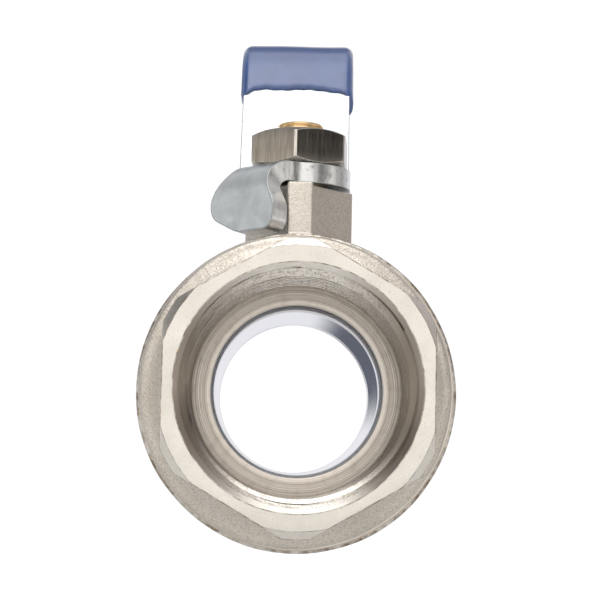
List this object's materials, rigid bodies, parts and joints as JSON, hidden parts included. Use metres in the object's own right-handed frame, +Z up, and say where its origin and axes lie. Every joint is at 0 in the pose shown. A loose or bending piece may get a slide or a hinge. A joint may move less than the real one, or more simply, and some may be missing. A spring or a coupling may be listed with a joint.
{
  "type": "water shutoff ball valve",
  "caption": "Water shutoff valve: nickel-plated brass ball valve with female threaded hexagon ends, a bent steel lever with a dipped blue grip, a stop tab and a thin locking nut.",
  "frame": {"origin": "where the flow axis crosses the stem axis, at the centre of the ball", "axes": "+Y along the flow from the inlet end cap to the outlet, and the way the lever points when the valve is open; +Z up along the stem; +X to the right when looking into the inlet"},
  "size_m": [0.0604, 0.1728, 0.1112],
  "materials": {
    "nickel_plated_brass": "sandblasted casting with machined hexagon faces and threads",
    "ball_chrome": "polished chrome plate",
    "stem_brass": "turned",
    "zinc_plated_steel": "stamped and zinc plated",
    "nickel_plated_nut": "brushed nickel plate",
    "blue_vinyl": "dipped, smooth and softly glossy",
    "ptfe": "turned",
    "seal_rubber": "matt"
  },
  "bodies": {
    "valve_body": {"body": "nickel_plated_brass", "end_cap": "nickel_plated_brass", "joint_seal": "ptfe", "seat_front": "ptfe", "seat_rear": "ptfe", "thrust_washer": "ptfe"},
    "lever_and_stem": {"stem": "stem_brass", "stem_o_ring_lower": "seal_rubber", "stem_o_ring_upper": "seal_rubber", "lever": "zinc_plated_steel", "grip_sleeve": "blue_vinyl", "handle_nut": "nickel_plated_nut"},
    "ball": {"ball": "ball_chrome"}
  },
  "joints": [
    {"name": "lever_turn", "type": "hinge", "parent": "valve_body", "child": "lever_and_stem", "pos_m": [0, 0, 0], "axis": [0, 0, 1], "range_deg": [-90, 0]},
    {"name": "ball_turn", "type": "hinge", "parent": "valve_body", "child": "ball", "pos_m": [0, 0, 0], "axis": [0, 0, 1], "range_deg": [-90, 0]}
  ],
  "couplings": [
    {"joint": "ball_turn", "follows": "lever_turn", "ratio": 1}
  ]
}
